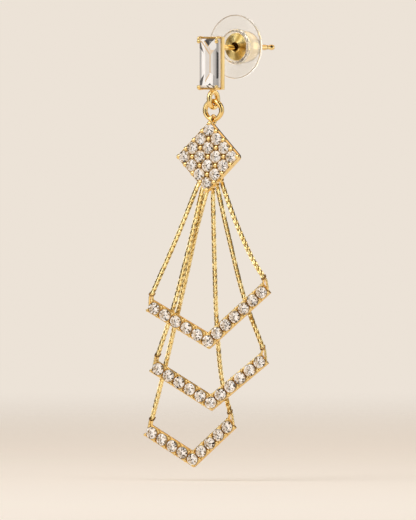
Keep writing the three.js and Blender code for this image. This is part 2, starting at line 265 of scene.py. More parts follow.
cup = bmesh.new()
cup_middle, cup_size = (CUP_LOW + CUP_HIGH) / 2, CUP_HIGH - CUP_LOW
bmesh.ops.create_cube(
    cup, size=1, matrix=Matrix.Translation(cup_middle) @ Matrix.Diagonal((*cup_size, 1))
)
cup_front = min(cup.faces, key=lambda face: face.calc_center_median().y)
bmesh.ops.inset_region(cup, faces=[cup_front], thickness=CUP_WALL)
pocket = bmesh.ops.extrude_face_region(cup, geom=[cup_front])
bmesh.ops.delete(cup, geom=[cup_front], context="FACES_ONLY")
bmesh.ops.translate(
    cup, vec=(0, CUP_POCKET, 0), verts=[v for v in pocket["geom"] if isinstance(v, bmesh.types.BMVert)]
)
# The cup's front lip takes the second finish, a darker brown gold: painted shade along the lip.
for face in cup.faces:
    face.material_index = int(face.calc_center_median().y < CUP_LOW.y + 1e-6)
rounded(cup, sharp_edges(cup.faces), CUP_EDGE)
piece("stud_cup", cup, [satin_gold, shaded_rim_gold], "stud", ["stud_setting"])

findings = bmesh.new()
turned(findings, POST_PROFILE, steps=32)
up, back, right = Vector((0, 0, 1)), Vector((0, 1, 0)), Vector((1, 0, 0))
wire(findings, oval(BAIL_CENTRE, back, up, BAIL_HALF_DEPTH, BAIL_HALF_HEIGHT), BAIL_WIRE, True, 16)
ball(findings, Vector((0, BAIL_CENTRE.y - SOLDER_FORWARD, CUP_LOW.z - SOLDER_DROP)), SOLDER_SIZE)
for side in (-1, 1):
    for end, wall in ((1, CUP_HIGH.z), (-1, CUP_LOW.z)):
        x, z = side * CLAW_ACROSS, wall - end * CLAW_INSET
        root, knee = Vector((x, CLAW_ROOT, z)), Vector((x, CLAW_KNEE, z))
        bend = Vector((x, CLAW_FRONT, z - end * CLAW_BEND))
        tip = Vector((x - side * CLAW_LEAN, CLAW_FRONT, z - end * CLAW_REACH[end]))
        wire(findings, [root, knee, bend, tip], CLAW_WIRE)
        ball(findings, tip, CLAW_TIP)
piece("stud_findings", findings, [polished_gold], "stud", ["stud_setting"])


# ---- Baguette stone
# One clear step-cut crystal, long side upright. The facets of its underside meet in a keel that runs
# down the middle and forks at both ends. Those facets are not built: what shows of them through the
# table is painted onto the table's facets as bright and dark bands of painted reflection, beside a
# painted gold reflection of the top claw, and the table dips a little along the keel. The slopes
# round the table carry painted reflections too.

STONE_LOW, STONE_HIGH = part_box("baguette_stone")
STONE_BEVEL = 0.48 * MM
GIRDLE_RISE = 0.62 * MM
KEEL_DEPTH = 0.1 * MM
KEEL_LEFT, KEEL_RIGHT = 0.22, 0.42
FORK_TOP, FORK_FOOT = 1.25, -1.5
FORK_SLOPES = {(-1, 1): 1.34, (1, 1): 1.0, (-1, -1): 1.5, (1, -1): 0.55}
FORK_WIDTH = 0.3
KEEL_REACH, KEEL_FADE = 1.5, (3.3, 2)
TABLE_BANDS = (-1.24, -0.58, KEEL_LEFT, KEEL_RIGHT, 0.9, 1.24)
BAND_TONES = (0.45, 0.9, 0.68, 0.62, 0.72, 0.55, 0.4)
BAND_TINTS = (0.0, 0.0, 0.06, 0.75, 0.04, 0.02, 0.0)
TOP_POINT, TOP_SLOPES = (0.05, 2.66), {-1: 1.15, 1: 1.0}
FOOT_POINT, FOOT_SLOPE = (0.3, -3.05), 0.9
TAN_TOP = 2.05
LEFT_CORNERS = {1: ((-0.84, 1.56), -1.1, -2.76), -1: ((-0.77, -1.65), 1.38, 4.73)}
# Width of the painted gold reflection of the top claw on the table.
CLAW_REFLECTION = 0.3
RIGHT_CROWN, DARK_BAND = 1.4, (1.34, 1.77)
BAND_ENDS, BAND_END_SLOPES = (1.6, -2.3), (1.5, -0.5)
BAND_TOP, BAND_FOOT, BAND_PALE = 1.9, -2.3, 2
TOP_DARK, FOOT_ARCH = (-0.75, 0.9), (-0.46, -0.1, 0.53, 0.96)
ARCH_TONES = (0.8, 0.1, 0.95, 0.1, 0.8)
# Colours of the painted reflections in all stones: white light, dark, and gold thrown back from the
# setting.
CRYSTAL_WHITE = (0.98, 0.95, 0.92, 1)
CRYSTAL_DARK = (0.012, 0.009, 0.007, 1)
REFLECTED_GOLD = (0.66, 0.43, 0.18, 1)
PAINTED_GLOW = 0.26


def crystal_finish():
    """Cut crystal. Each facet's own tone is a painted reflection of the light or the metal that it
    throws back, and the whole stone has a painted glow in the same colour.
    """
    finish = Finish("cut_crystal")
    tone = finish.node("Attribute", {"attribute_name": "tone"}, {}, "Fac")
    tint = finish.node("Attribute", {"attribute_name": "tint"}, {}, "Fac")
    clouds = finish.noise(900.0)
    depth = tone + 0.1 * (clouds - 0.5)
    colour = finish.mix(tint, finish.mix(depth, CRYSTAL_DARK, CRYSTAL_WHITE), REFLECTED_GOLD)
    finish.surface(
        Base_Color=colour,
        Roughness=0.03 + 0.05 * clouds,
        IOR=1.4,
        Emission_Color=colour,
        Emission_Strength=PAINTED_GLOW,
    )
    return finish.material


def fork_line(x, end):
    """Height at which the keel's fork runs, above or below the stone's middle."""
    side = 1 if x > KEEL_LEFT else -1
    out = max(0.0, x - KEEL_RIGHT if side > 0 else KEEL_LEFT - x)
    return (FORK_TOP if end > 0 else FORK_FOOT) + end * FORK_SLOPES[(side, end)] * out


def in_left_corner(x, z):
    """Whether a place lies in one of the two slivers of painted dark reflection beside the stone's left
    corners.
    """
    for end, ((tip_x, tip_z), shallow, steep) in LEFT_CORNERS.items():
        over = end * (z - tip_z)
        if x < tip_x and end * shallow * (x - tip_x) < over < end * steep * (x - tip_x):
            return True
    return False


def facet_light(x, z):
    """Painted reflection of a facet of the table, its tone and gold tint, from its place in millimetres
    from the middle.
    """
    over, under = z - fork_line(x, 1), fork_line(x, -1) - z
    if in_left_corner(x, z):
        return 0.12, 0.0
    top_slope = TOP_SLOPES[-1 if x < TOP_POINT[0] else 1]
    above_point = z - TOP_POINT[1] - top_slope * abs(x - TOP_POINT[0])
    if above_point > 0:
        return (0.06, 0.0) if x < TOP_POINT[0] else (0.22, 0.0)
    if above_point > -CLAW_REFLECTION and x < TOP_POINT[0]:
        return 0.35, 0.85
    if z < FOOT_POINT[1] - FOOT_SLOPE * abs(x - FOOT_POINT[0]):
        return 0.12, 0.0
    if over > 0 and x > KEEL_LEFT:
        return (0.78, 0.5) if z < TAN_TOP else (0.8, 0.0)
    if over > 0:
        if over < FORK_WIDTH:
            return 0.55, 0.8
        return (0.9, 0.05) if x < TABLE_BANDS[1] else (0.72, 0.2)
    if under > 0:
        if under < FORK_WIDTH and TABLE_BANDS[1] < x < KEEL_LEFT:
            return 0.6, 0.75
        return (0.9, 0.0) if x < TABLE_BANDS[-2] else (0.4, 0.0)
    band = sum(x > limit for limit in TABLE_BANDS)
    return BAND_TONES[band], BAND_TINTS[band]


cut_crystal = crystal_finish()

stone = bmesh.new()
stone_middle, stone_size = (STONE_LOW + STONE_HIGH) / 2, STONE_HIGH - STONE_LOW
bmesh.ops.create_cube(
    stone, size=1, matrix=Matrix.Translation(stone_middle) @ Matrix.Diagonal((*stone_size, 1))
)
table = min(stone.faces, key=lambda face: face.calc_center_median().y)
bmesh.ops.inset_region(stone, faces=[table], thickness=STONE_BEVEL)
crown = [v for v in stone.verts if v.co.y < STONE_LOW.y + 1e-7 and v not in set(table.verts)]
bmesh.ops.translate(stone, vec=(0, GIRDLE_RISE, 0), verts=crown)


def on_table(face):
    """Whether a facet lies in the stone's flat front."""
    return face.calc_center_median().y < STONE_LOW.y + 1e-6


def cut(through, normal, wanted=on_table):
    """Cuts the wanted facets along a line, in millimetres from the stone's middle."""
    faces = [face for face in stone.faces if wanted(face)]
    around = list({part for face in faces for part in (*face.verts, *face.edges)}) + faces
    point = stone_middle + Vector((through[0], 0, through[1])) * MM
    bmesh.ops.bisect_plane(
        stone, geom=around, dist=1e-7, plane_co=point, plane_no=(normal[0], 0, normal[1])
    )


def from_middle(face):
    """A facet's place in millimetres from the stone's middle."""
    return (face.calc_center_median() - stone_middle) / MM


for x in TABLE_BANDS:
    cut((x, 0), (1, 0))
for height in (FORK_TOP, FORK_FOOT):
    cut((0, height), (0, 1), lambda f: on_table(f) and KEEL_LEFT < from_middle(f).x < KEEL_RIGHT)
for (side, end), slope in FORK_SLOPES.items():
    start_x = KEEL_RIGHT if side > 0 else KEEL_LEFT
    start_z = FORK_TOP if end > 0 else FORK_FOOT
    for width in (0, FORK_WIDTH):
        cut((start_x, start_z + end * width), (-side * end * slope, 1),
            lambda f: on_table(f) and side * (from_middle(f).x - start_x) > 0)
cut((0, TAN_TOP), (0, 1),
    lambda f: on_table(f) and from_middle(f).x > KEEL_RIGHT and from_middle(f).z > 0)
cut((TOP_POINT[0], TOP_POINT[1] - CLAW_REFLECTION), (TOP_SLOPES[-1], 1),
    lambda f: on_table(f) and from_middle(f).z > FORK_TOP and from_middle(f).x < TOP_POINT[0])
for side in (-1, 1):
    cut(TOP_POINT, (-side * TOP_SLOPES[side], 1), lambda f: on_table(f) and from_middle(f).z > FORK_TOP)
    cut(FOOT_POINT, (side * FOOT_SLOPE, 1), lambda f: on_table(f) and from_middle(f).z < FORK_FOOT)
    tip, *slopes = LEFT_CORNERS[side]
    for slope in slopes:
        cut(tip, (-slope, 1), lambda f: on_table(f) and from_middle(f).x < TABLE_BANDS[1])


def on_right_crown(face):
    """Whether a facet belongs to the slope along the stone's right side."""
    return from_middle(face).x > RIGHT_CROWN and face.normal.y < -0.2


def on_end_crown(face, end):
    """Whether a facet belongs to the slope along the stone's top or foot."""
    return end * face.normal.z > 0.3 and face.normal.y < -0.3


for x in DARK_BAND:
    cut((x, 0), (1, 0), on_right_crown)
for height, slope in zip(BAND_ENDS, BAND_END_SLOPES):
    cut((DARK_BAND[1], height), (slope, 1), on_right_crown)
for end, places in ((1, TOP_DARK), (-1, FOOT_ARCH)):
    for x in places:
        cut((x, 0), (1, 0), lambda f: on_end_crown(f, end))
tone = stone.faces.layers.float.new("tone")
tint = stone.faces.layers.float.new("tint")
# Every facet gets a painted reflection: the table's from facet_light, the top and foot slopes in painted
# light and dark stretches, the right slope with a painted dark band.
for face in stone.faces:
    place = from_middle(face)
    if on_table(face):
        face[tone], face[tint] = facet_light(place.x, place.z)
    elif on_end_crown(face, 1):
        face[tone], face[tint] = 0.08 if TOP_DARK[0] < place.x < TOP_DARK[1] else 0.85, 0.0
    elif on_end_crown(face, -1):
        face[tone], face[tint] = ARCH_TONES[sum(place.x > x for x in FOOT_ARCH)], 0.0
    elif on_right_crown(face) and place.x < DARK_BAND[1]:
        in_band = place.x > DARK_BAND[0] and BAND_FOOT < place.z < BAND_TOP
        face[tone], face[tint] = -0.05 if in_band else 0.5 if abs(place.z) < BAND_PALE else 0.3, 0.0
    else:
        face[tone], face[tint] = 0.6, 0.1
for vert in stone.verts:
    place = (vert.co - stone_middle) / MM
    if vert.co.y < STONE_LOW.y + 1e-6:
        nearness = max(0, 1 - abs(place.x) / KEEL_REACH)
        vert.co.y += KEEL_DEPTH * nearness * max(0, min(1, (KEEL_FADE[0] - abs(place.z)) / KEEL_FADE[1]))
piece("baguette", stone, [cut_crystal], "stud", ["baguette_stone"], smooth=0)


# ---- Clutch
# A stamped gold barrel that grips the post, pressed into a clear plastic disc that spreads its
# pressure behind the ear lobe. The disc has a short collar that runs back round the barrel.

CLUTCH_RISE = 0.1
BARREL_PROFILE = [
    (0.7, 5.72), (0.7, 5.5), (0.73, 5.42), (0.79, 5.4), (0.87, 5.43), (0.94, 5.5), (1.3, 5.56),
    (1.7, 5.64), (1.95, 5.7), (2.08, 5.76), (2.13, 5.88), (2.13, 7.2), (2.08, 7.6), (1.92, 8.2),
    (1.68, 8.8), (1.4, 9.3), (1.12, 9.62), (0.9, 9.74), (0.72, 9.75), (0.64, 9.68), (0.66, 9.5),
    (0.95, 9.3), (1.3, 8.8), (1.7, 7.6), (1.8, 6.6), (1.75, 6.0), (0.7, 5.8),
]
# The barrel's gold, and the dark gold of the painted sheen on its front.
BARREL_LIGHT, BARREL_SHEEN_DARK = (1.0, 0.8, 0.34, 1), (0.36, 0.21, 0.03, 1)
MOUTH_BACK = 5.8 * MM
SHEEN_SECTORS, SHEEN_TURN = 5.0, 1.1
LATHE_MARKS = 60000.0
DISC_PROFILE = [
    (2.25, 5.44), (2.32, 5.4), (2.5, 5.41), (2.62, 5.5), (2.9, 5.53), (4.8, 5.53), (4.92, 5.57),
    (4.95, 5.66), (4.95, 5.86), (4.92, 5.93), (4.8, 5.96), (2.8, 5.97), (2.62, 6.05), (2.52, 6.25),
    (2.36, 7.3), (2.1, 8.34), (1.98, 8.42), (2.2, 7.3), (2.24, 6.3),
]
DISC_EDGE, DISC_LIP, DISC_COLLAR = 4.9, 4.78, (2.4, 2.65)
# The plastic's own colour, and a brown painted as shade on its lip and the collar's mouth.
PLASTIC, PLASTIC_EDGE_SHADE = (0.99, 0.98, 0.96, 1), (0.4, 0.3, 0.18, 1)

barrel = bmesh.new()
turned(barrel, BARREL_PROFILE, CLUTCH_RISE, 48, closed=True)
turned_gold = Finish("turned_gold")
spot = turned_gold.node("TexCoord", {}, {}, "Object")
offset = turned_gold.node(
    "VectorMath", {"operation": "MULTIPLY_ADD"}, {0: spot, 1: (1, 0, 1), 2: (0, 0, -CLUTCH_RISE * MM)}
)
radius = turned_gold.node("VectorMath", {"operation": "LENGTH"}, {0: offset}, "Value")
marks = turned_gold.node("Math", {"operation": "SINE"}, {0: radius * LATHE_MARKS})
patches = turned_gold.noise(700.0)
offset_x = turned_gold.node("SeparateXYZ", {}, {"Vector": offset}, "X")
offset_z = turned_gold.node("SeparateXYZ", {}, {"Vector": offset}, "Z")
depth_back = turned_gold.node("SeparateXYZ", {}, {"Vector": spot}, "Y")
# The barrel's front, ahead of MOUTH_BACK, is painted darker in sectors by angle round the post: a
# painted sheen, as turned metal throws light back in sectors. The rear keeps the plain gold.
around = turned_gold.node("Math", {"operation": "ARCTAN2"}, {0: offset_z, 1: offset_x})
wave = SHEEN_SECTORS * around + (2.0 * patches + SHEEN_TURN)
painted_sheen = turned_gold.node("Math", {"operation": "SINE"}, {0: wave})
mouth = turned_gold.node("Math", {"operation": "LESS_THAN"}, {0: depth_back, 1: MOUTH_BACK})
turned_gold.surface(
    Base_Color=turned_gold.mix(mouth * (0.4 + 0.45 * painted_sheen), BARREL_LIGHT, BARREL_SHEEN_DARK),
    Metallic=1.0,
    Roughness=0.14 + 0.08 * patches,
    Normal=turned_gold.bump(marks, 0.006 * MM, 0.8),
)
piece("clutch_barrel_gold", barrel, [turned_gold.material], "clutch", ["clutch_barrel"])

clear = Finish("clear_plastic")
edge_shade = clear.node("Attribute", {"attribute_name": "shade"}, {}, "Fac")
edge_glow = clear.node("Attribute", {"attribute_name": "glow"}, {}, "Fac")
clear.surface(
    Base_Color=clear.mix(edge_shade, PLASTIC, PLASTIC_EDGE_SHADE),
    Roughness=0.01 + 0.03 * clear.noise(300.0),
    IOR=1.32,
    Transmission_Weight=0.84,
    Emission_Color=clear.mix(edge_glow, (0, 0, 0, 1), PLASTIC),
    Emission_Strength=0.5,
)
disc = bmesh.new()
turned(disc, DISC_PROFILE, CLUTCH_RISE, 96, closed=True)
shade, glow = disc.faces.layers.float.new("shade"), disc.faces.layers.float.new("glow")
# Painted shade darkens the lip just inside the rim, most at the front, and the collar's mouth. A painted
# glow brightens the rim, most at its lower right, and faintly the collar behind.
for face in disc.faces:
    spot = face.calc_center_median() / MM
    out = math.hypot(spot.x, spot.z - CLUTCH_RISE)
    if out > DISC_EDGE:
        face[glow] = 1.0 if spot.x > 0 and spot.z < 1.0 else 0.4
    elif out > DISC_LIP:
        face[shade] = 1.0 if spot.y < 5.6 else 0.4
    elif DISC_COLLAR[0] < out < DISC_COLLAR[1] and spot.y < 5.6:
        face[shade] = 0.8
    elif spot.y > 6.0:
        face[glow] = 0.1
piece("comfort_disc", disc, [clear.material], "clutch", ["clutch_disc"], smooth=60)


# ---- Jump ring
# A ring of round gold wire, closed through the bail. It is bent a little narrower towards its foot,
# where the plaque's eyelet pulls on it.

RING_CENTRE = Vector((0, -0.12, -9.71)) * MM
RING_RADIUS = 1.43 * MM
RING_WIRE = 0.4 * MM
RING_TURN = 7.2
RING_NARROWING = 0.16
RING_DEEP = (0.86, 0.56, 0.18, 1)

jump = bmesh.new()
ring_across = Matrix.Rotation(math.radians(RING_TURN), 3, "Z") @ right
wire(jump, oval(RING_CENTRE, ring_across, up, RING_RADIUS, RING_RADIUS, 16), RING_WIRE, True, 16)
for vert in jump.verts:
    below = max(0.0, (RING_CENTRE.z - vert.co.z) / RING_RADIUS)
    across = (vert.co - RING_CENTRE).dot(ring_across)
    vert.co -= ring_across * across * RING_NARROWING * below ** 2
ring_gold = gold_finish("ring_gold", 0.0, 5000.0, 0.001 * MM, GOLD_LIGHT, RING_DEEP)
piece("ring_of_wire", jump, [ring_gold], "jump_ring", ["jump_ring"])


# ---- Plaque
# A square plate hung by one corner, cast with a seat for each of its sixteen round stones. Raised
# beads of metal between the stones hold them. An eyelet on its back takes the jump ring, and three
# small lugs on each lower edge take the chains.

PLAQUE_AT, PLAQUE_TURN, PLAQUE_TIP = (0, -1.6, -16.8), 7.2, 5.1
PLAQUE_SIDE = 7.8
PLAQUE_THICKNESS = 1.1
PLAQUE_CORNER = 0.6
PLAQUE_ROWS, PLAQUE_PITCH = 4, 1.94
HANG_POINT = Vector((0, -0.12, -11.14)) * MM
EYELET_RADIUS, EYELET_WIRE = 0.68 * MM, 0.2 * MM
LUG_RADIUS, LUG_WIRE = 0.38 * MM, 0.18 * MM
LUG_FIRST, LUG_SPACING, LUG_RISE = 0.53, 0.71, 0.15
PLAQUE_RIM, PLAQUE_POCKET, PLAQUE_EDGE = 0.06, 0.4, 0.03
BEAD_LIMIT = 0.37
PLAQUE_BEAD, PLAQUE_BEAD_RISE = Vector((0.42, 0.54, 0.42)) * MM, 0.2 * MM
# A darker, more orange gold painted as shade on the floors of recesses: the plaque's pocket and the
# fronts of the bars.
RECESS_SHADE_LIGHT, RECESS_SHADE_DEEP = (1.0, 0.7, 0.25, 1), (0.72, 0.45, 0.13, 1)
WAYS = 16
# Tones and gold tints painted on the round stones: painted shade on the underside and seat ring, painted
# reflections on crown and table, brighter over one side as painted light.
UNDERSIDE_TONE, UNDERSIDE_TINT, SEAT_TONE = 0.1, 0.45, 0.05
BRIGHT_FROM, BRIGHT_TO, TINTED_PAST = -60, 110, 110
CROWN_TONES, CROWN_TINTS = (1.0, 0.9, 0.8, 0.6, 0.1, 0.0), (0.0, 0.1, 0.3, 0.5)
BRIGHT_SIDE, DULL_SIDE = (1.0, 1.0, 0.9, 0.7, 0.0), (0.8, 0.65, 0.55, 0.4, 0.0)
PLAQUE_STONE_SIZE, PLAQUE_SHINE, PLAQUE_SEAT = 1.03, 0.93, 0.7
STONE_FOOT, GIRDLE_RADIUS, TABLE_RADIUS = 0.55 * MM, 0.95 * MM, 0.62 * MM
SEAT_RADIUS, STAR_RADIUS, POINT_RADIUS = 0.885 * MM, 0.34 * MM, 0.1 * MM
STONE_STEPS = [
    (GIRDLE_RADIUS, 0.35 * MM, 0), (GIRDLE_RADIUS, 0.04 * MM, 0), (SEAT_RADIUS, 0.05 * MM, 0),
    (TABLE_RADIUS, 0.2 * MM, 1), (STAR_RADIUS, -0.02 * MM, 1), (POINT_RADIUS, -0.04 * MM, 1),
]
STONE_BACK, STONE_TWIST = -0.03 * MM, 0.3

random.seed(11)


def hang(at, turn, tip=0.0, roll=0.0):
    """Place of a hanging piece: turned about the vertical, tipped with its foot forward, rolled."""
    return (
        Matrix.Translation(Vector(at) * MM)
        @ Matrix.Rotation(math.radians(turn), 4, "Z")
        @ Matrix.Rotation(math.radians(-tip), 4, "X")
        @ Matrix.Rotation(math.radians(-roll), 4, "Y")
    )


def round_stone():
    """A round brilliant that faces the front, with a small point in the middle of its table that
    set_stones gives a painted dark reflection.
    """
    work = bmesh.new()
    bmesh.ops.create_circle(work, cap_ends=True, segments=WAYS, radius=STONE_FOOT)
    front, width = work.faces[:], STONE_FOOT
    for step, (radius, rise, turn) in enumerate(STONE_STEPS):
        grown = bmesh.ops.extrude_face_region(work, geom=front)
        if step:
            bmesh.ops.delete(work, geom=front, context="FACES_ONLY")
        front = [part for part in grown["geom"] if isinstance(part, bmesh.types.BMFace)]
        ring = list({vert for face in front for vert in face.verts})
        bmesh.ops.scale(work, vec=(radius / width, radius / width, 1), verts=ring)
        bmesh.ops.rotate(work, matrix=Matrix.Rotation(turn * math.pi / WAYS, 3, "Z"), verts=ring)
        bmesh.ops.translate(work, vec=(0, 0, rise), verts=ring)
        width = radius
    bmesh.ops.translate(work, vec=(0, 0, -STONE_STEPS[0][1]), verts=work.verts)
    crown = [f for f in work.faces if f.calc_center_median().z > 0 and len(f.verts) == 4]
    bmesh.ops.triangulate(work, faces=crown)
    bmesh.ops.rotate(work, matrix=Matrix.Rotation(math.pi / 2, 3, "X"), verts=work.verts)
    mesh = bpy.data.meshes.new("round_stone")
    work.to_mesh(mesh)
    work.free()
    return mesh


def set_stones(work, centres, place, size, shine, seat_tint):
    """Sets one round stone at each centre of a piece, and paints on every facet the light it throws:
    painted shade on the underside and seat ring, painted reflections on the crown and table, brighter
    over one side as painted light, and a painted dark point in the middle.

    Facets are taken in the order of their corners, so that each gets the same light every time.
    """
    for x, z in centres:
        gem = bmesh.new()
        gem.from_mesh(BRILLIANT)
        tone, tint = gem.faces.layers.float.new("tone"), gem.faces.layers.float.new("tint")
        for face in sorted(gem.faces, key=lambda facet: sorted(v.index for v in facet.verts)):
            middle = face.calc_center_median()
            out = Vector((middle.x, middle.z)).length / GIRDLE_RADIUS
            angle = math.degrees(math.atan2(middle.z, middle.x))
            if middle.y > STONE_BACK:
                face[tone], face[tint] = UNDERSIDE_TONE, UNDERSIDE_TINT
            elif out > SEAT_RADIUS / GIRDLE_RADIUS:
                face[tone], face[tint] = SEAT_TONE, seat_tint
            elif out > TABLE_RADIUS / GIRDLE_RADIUS:
                face[tone], face[tint] = random.choice(CROWN_TONES), random.choice(CROWN_TINTS)
            elif out > 0.05:
                face[tone] = random.choice(BRIGHT_SIDE if BRIGHT_FROM < angle < BRIGHT_TO else DULL_SIDE)
                face[tint] = random.uniform(*((0.15, 0.5) if abs(angle) > TINTED_PAST else (0.0, 0.2)))
            else:
                face[tone], face[tint] = 0.0, 0.0
            face[tone] *= shine
        turn = Matrix.Rotation(random.uniform(-STONE_TWIST, STONE_TWIST), 4, "Y") @ Matrix.Scale(size, 4)
        join(work, gem, place @ Matrix.Translation(Vector((x, 0, z)) * MM) @ turn)


def beads(work, centres, size, rise, place):
    """Raises a bead of metal at each centre, on the front of a piece."""
    for x, z in centres:
        ball(work, Vector((x * MM, rise, z * MM)), size, 10, 6, place)


def upright_edges(work):
    """The edges of a flat part that run from its front to its back."""
    return [e for e in work.edges if abs((e.verts[0].co - e.verts[1].co).normalized().y) > 0.9]


def lug_centre(side, index):
    """Middle of a chain's lug, in millimetres, on the plaque's back at its lower edge."""
    x = LUG_FIRST + index * LUG_SPACING
    return Vector((side * x, PLAQUE_THICKNESS + 0.05, x - PLAQUE_SIDE / math.sqrt(2) + LUG_RISE))


BRILLIANT = round_stone()
plaque_place = hang(PLAQUE_AT, PLAQUE_TURN, PLAQUE_TIP)
diagonal = PLAQUE_PITCH / math.sqrt(2)

shaded_recess_gold = gold_finish("shaded_recess_gold", 0.35, 7000.0, 0.02 * MM, RECESS_SHADE_LIGHT, RECESS_SHADE_DEEP)
plate = bmesh.new()
plate_size = Vector((PLAQUE_SIDE, PLAQUE_THICKNESS, PLAQUE_SIDE)) * MM
bmesh.ops.create_cube(
    plate, size=1,
    matrix=Matrix.Rotation(math.pi / 4, 4, "Y") @ Matrix.Translation((0, plate_size.y / 2, 0))
    @ Matrix.Diagonal((*plate_size, 1)),
)
rounded(plate, upright_edges(plate), PLAQUE_CORNER * MM, 4)
plate_front = min(plate.faces, key=lambda face: face.calc_center_median().y)
bmesh.ops.inset_region(plate, faces=[plate_front], thickness=PLAQUE_RIM * MM)
pocket = bmesh.ops.extrude_face_region(plate, geom=[plate_front])["geom"]
bmesh.ops.delete(plate, geom=[plate_front], context="FACES_ONLY")
sunk = [part for part in pocket if isinstance(part, bmesh.types.BMVert)]
bmesh.ops.translate(plate, vec=(0, PLAQUE_POCKET * MM, 0), verts=sunk)
# The pocket's floor takes the second finish, gold painted darker as shade in the recess.
for floor_face in (part for part in pocket if isinstance(part, bmesh.types.BMFace)):
    floor_face.material_index = 1
max(plate.faces, key=lambda face: face.calc_center_median().y).material_index = 2
rounded(plate, sharp_edges(plate.faces), PLAQUE_EDGE * MM)
bmesh.ops.transform(plate, matrix=plaque_place, verts=plate.verts)
grid = [i - (PLAQUE_ROWS - 1) / 2 for i in range(PLAQUE_ROWS)]
limit = grid[-1] + BEAD_LIMIT
lines = [max(-limit, min(limit, i - PLAQUE_ROWS / 2)) for i in range(PLAQUE_ROWS + 1)]
grains = [((u - v) * diagonal, -(u + v) * diagonal) for u in lines for v in lines]
beads(plate, grains, PLAQUE_BEAD, PLAQUE_BEAD_RISE, plaque_place)
eyelet_centre = plaque_place.inverted() @ HANG_POINT
loops = [(eyelet_centre, EYELET_RADIUS, EYELET_WIRE)]
loops += [(lug_centre(side, i) * MM, LUG_RADIUS, LUG_WIRE) for side in (-1, 1) for i in range(3)]
for centre, radius, thick in loops:
    loop = [plaque_place @ knot for knot in oval(centre, back, up, radius, radius, 8)]
    wire(plate, loop, thick, True, 10)
plate_finishes = [polished_gold, shaded_recess_gold, satin_gold]
piece("plaque_plate", plate, plate_finishes, "drop", ["pave_plaque"])

stones = bmesh.new()
centres = [((u - v) * diagonal, -(u + v) * diagonal) for u in grid for v in grid]
set_stones(stones, centres, plaque_place, PLAQUE_STONE_SIZE, PLAQUE_SHINE, PLAQUE_SEAT)
piece("plaque_stones", stones, [cut_crystal], "drop", ["pave_plaque"], smooth=0)


# ---- Chevrons
# Three bent bars of cast metal, each with one row of round stones down both arms and one stone at the
# point. Cuts across the bar part the stones, and a bead on each edge of a cut holds the stones beside
# it. A loop of wire soldered to each arm's end takes the chain.

STONE_PITCH = 2.02
ARM_SLOPE = math.radians(34.5)
BAR_HALF_WIDTH, BAR_THICKNESS, BAR_EDGE = 1.04, 0.7, 0.05
BASE_END, BASE_INSET = 0.48, 0.03
CUT_WIDTH, CUT_DEPTH = 0.12, 0.4
CELL_FRONT, CELL_BACK = 0.08, 0.5
BEAD_ACROSS, END_BEAD, POINT_BEAD = 0.82, 0.42, 0.32
BAR_BEAD, BAR_BEAD_RISE = Vector((0.24, 0.26, 0.24)) * MM, -0.04 * MM
SCALLOP = 0.3
BAR_STONE_SIZE, BAR_SHINE, BAR_SEAT = 1.02, 1.0, 0.25
# A darker gold painted as shade on the bars' side walls and inside the chain links.
SIDE_SHADE_LIGHT, SIDE_SHADE_DEEP = (0.95, 0.67, 0.27, 1), (0.8, 0.5, 0.16, 1)
LOOP_WIRE = 0.19
LOOP_Y, LOOP_UP, LOOP_BULGE = 0.4, 2.06, 0.2
LOOP_FOOT, LOOP_FEET = 0.32, (-0.62, 0.72)
CHEVRONS = [
    {"name": "chevron_upper", "arms": {-1: (5, 0.33), 1: (6, 0.6)},
     "place": hang((0.45, -2.2, -45.17), 12.2, -7, 4.7)},
    {"name": "chevron_middle", "arms": {-1: (5, 0.1), 1: (5, 0.6)},
     "place": hang((0.03, -0.9, -54.65), 15.8, 2, 4.1)},
    {"name": "chevron_lower", "arms": {-1: (4, -0.1), 1: (4, 0.6)},
     "place": hang((-5.11, 1.4, -63.5), 7.5, -4, 4.7)},
]


def on_arm(side, along, across):
    """A spot on a bar, in millimetres along its arm from the point stone and up across it."""
    return (
        side * (along * math.cos(ARM_SLOPE) - across * math.sin(ARM_SLOPE)),
        along * math.sin(ARM_SLOPE) + across * math.cos(ARM_SLOPE),
    )


def slab(work, outline, front, rear, place, corner=0.0):
    """A flat slab of metal from its outline, with softened edges and perhaps rounded corners."""
    part = bmesh.new()
    face = part.faces.new([part.verts.new(Vector((x, front, z)) * MM) for x, z in outline])
    grown = bmesh.ops.extrude_face_region(part, geom=[face])["geom"]
    far = [made for made in grown if isinstance(made, bmesh.types.BMVert)]
    bmesh.ops.translate(part, vec=(0, (rear - front) * MM, 0), verts=far)
    if corner:
        rounded(part, upright_edges(part), corner * MM, 4)
    rounded(part, sharp_edges(part.faces), BAR_EDGE * MM)
    part.normal_update()
    for side in part.faces:
        # Fronts take the darker recess gold and sides the darker side gold, both painted shade; backs
        # are satin.
        side.material_index = 1 if side.normal.y < -0.99 else 2 if side.normal.y > 0.99 else 3
    join(work, part, place)


def arm_outline(side, start, stop, half_width):
    """Outline of a stretch of one arm."""
    spots = ((start, -half_width), (stop, -half_width), (stop, half_width), (start, half_width))
    return [on_arm(side, along, across) for along, across in spots]


def vee_outline(ends, half_width):
    """Outline of both arms together, from the point up to an end along each arm."""
    tall = BAR_HALF_WIDTH / math.cos(ARM_SLOPE)
    right_end, left_end = (
        [on_arm(side, ends[side], across) for across in (-side * half_width, side * half_width)]
        for side in (1, -1)
    )
    return [(0, -tall), *right_end, (0, tall), *left_end]


def loop_top(side, stones, lean):
    """Where a chain hooks an arm's end loop, in millimetres."""
    x, z = on_arm(side, stones * STONE_PITCH, 0)
    return Vector((x + side * lean, LOOP_Y, z + LOOP_UP))


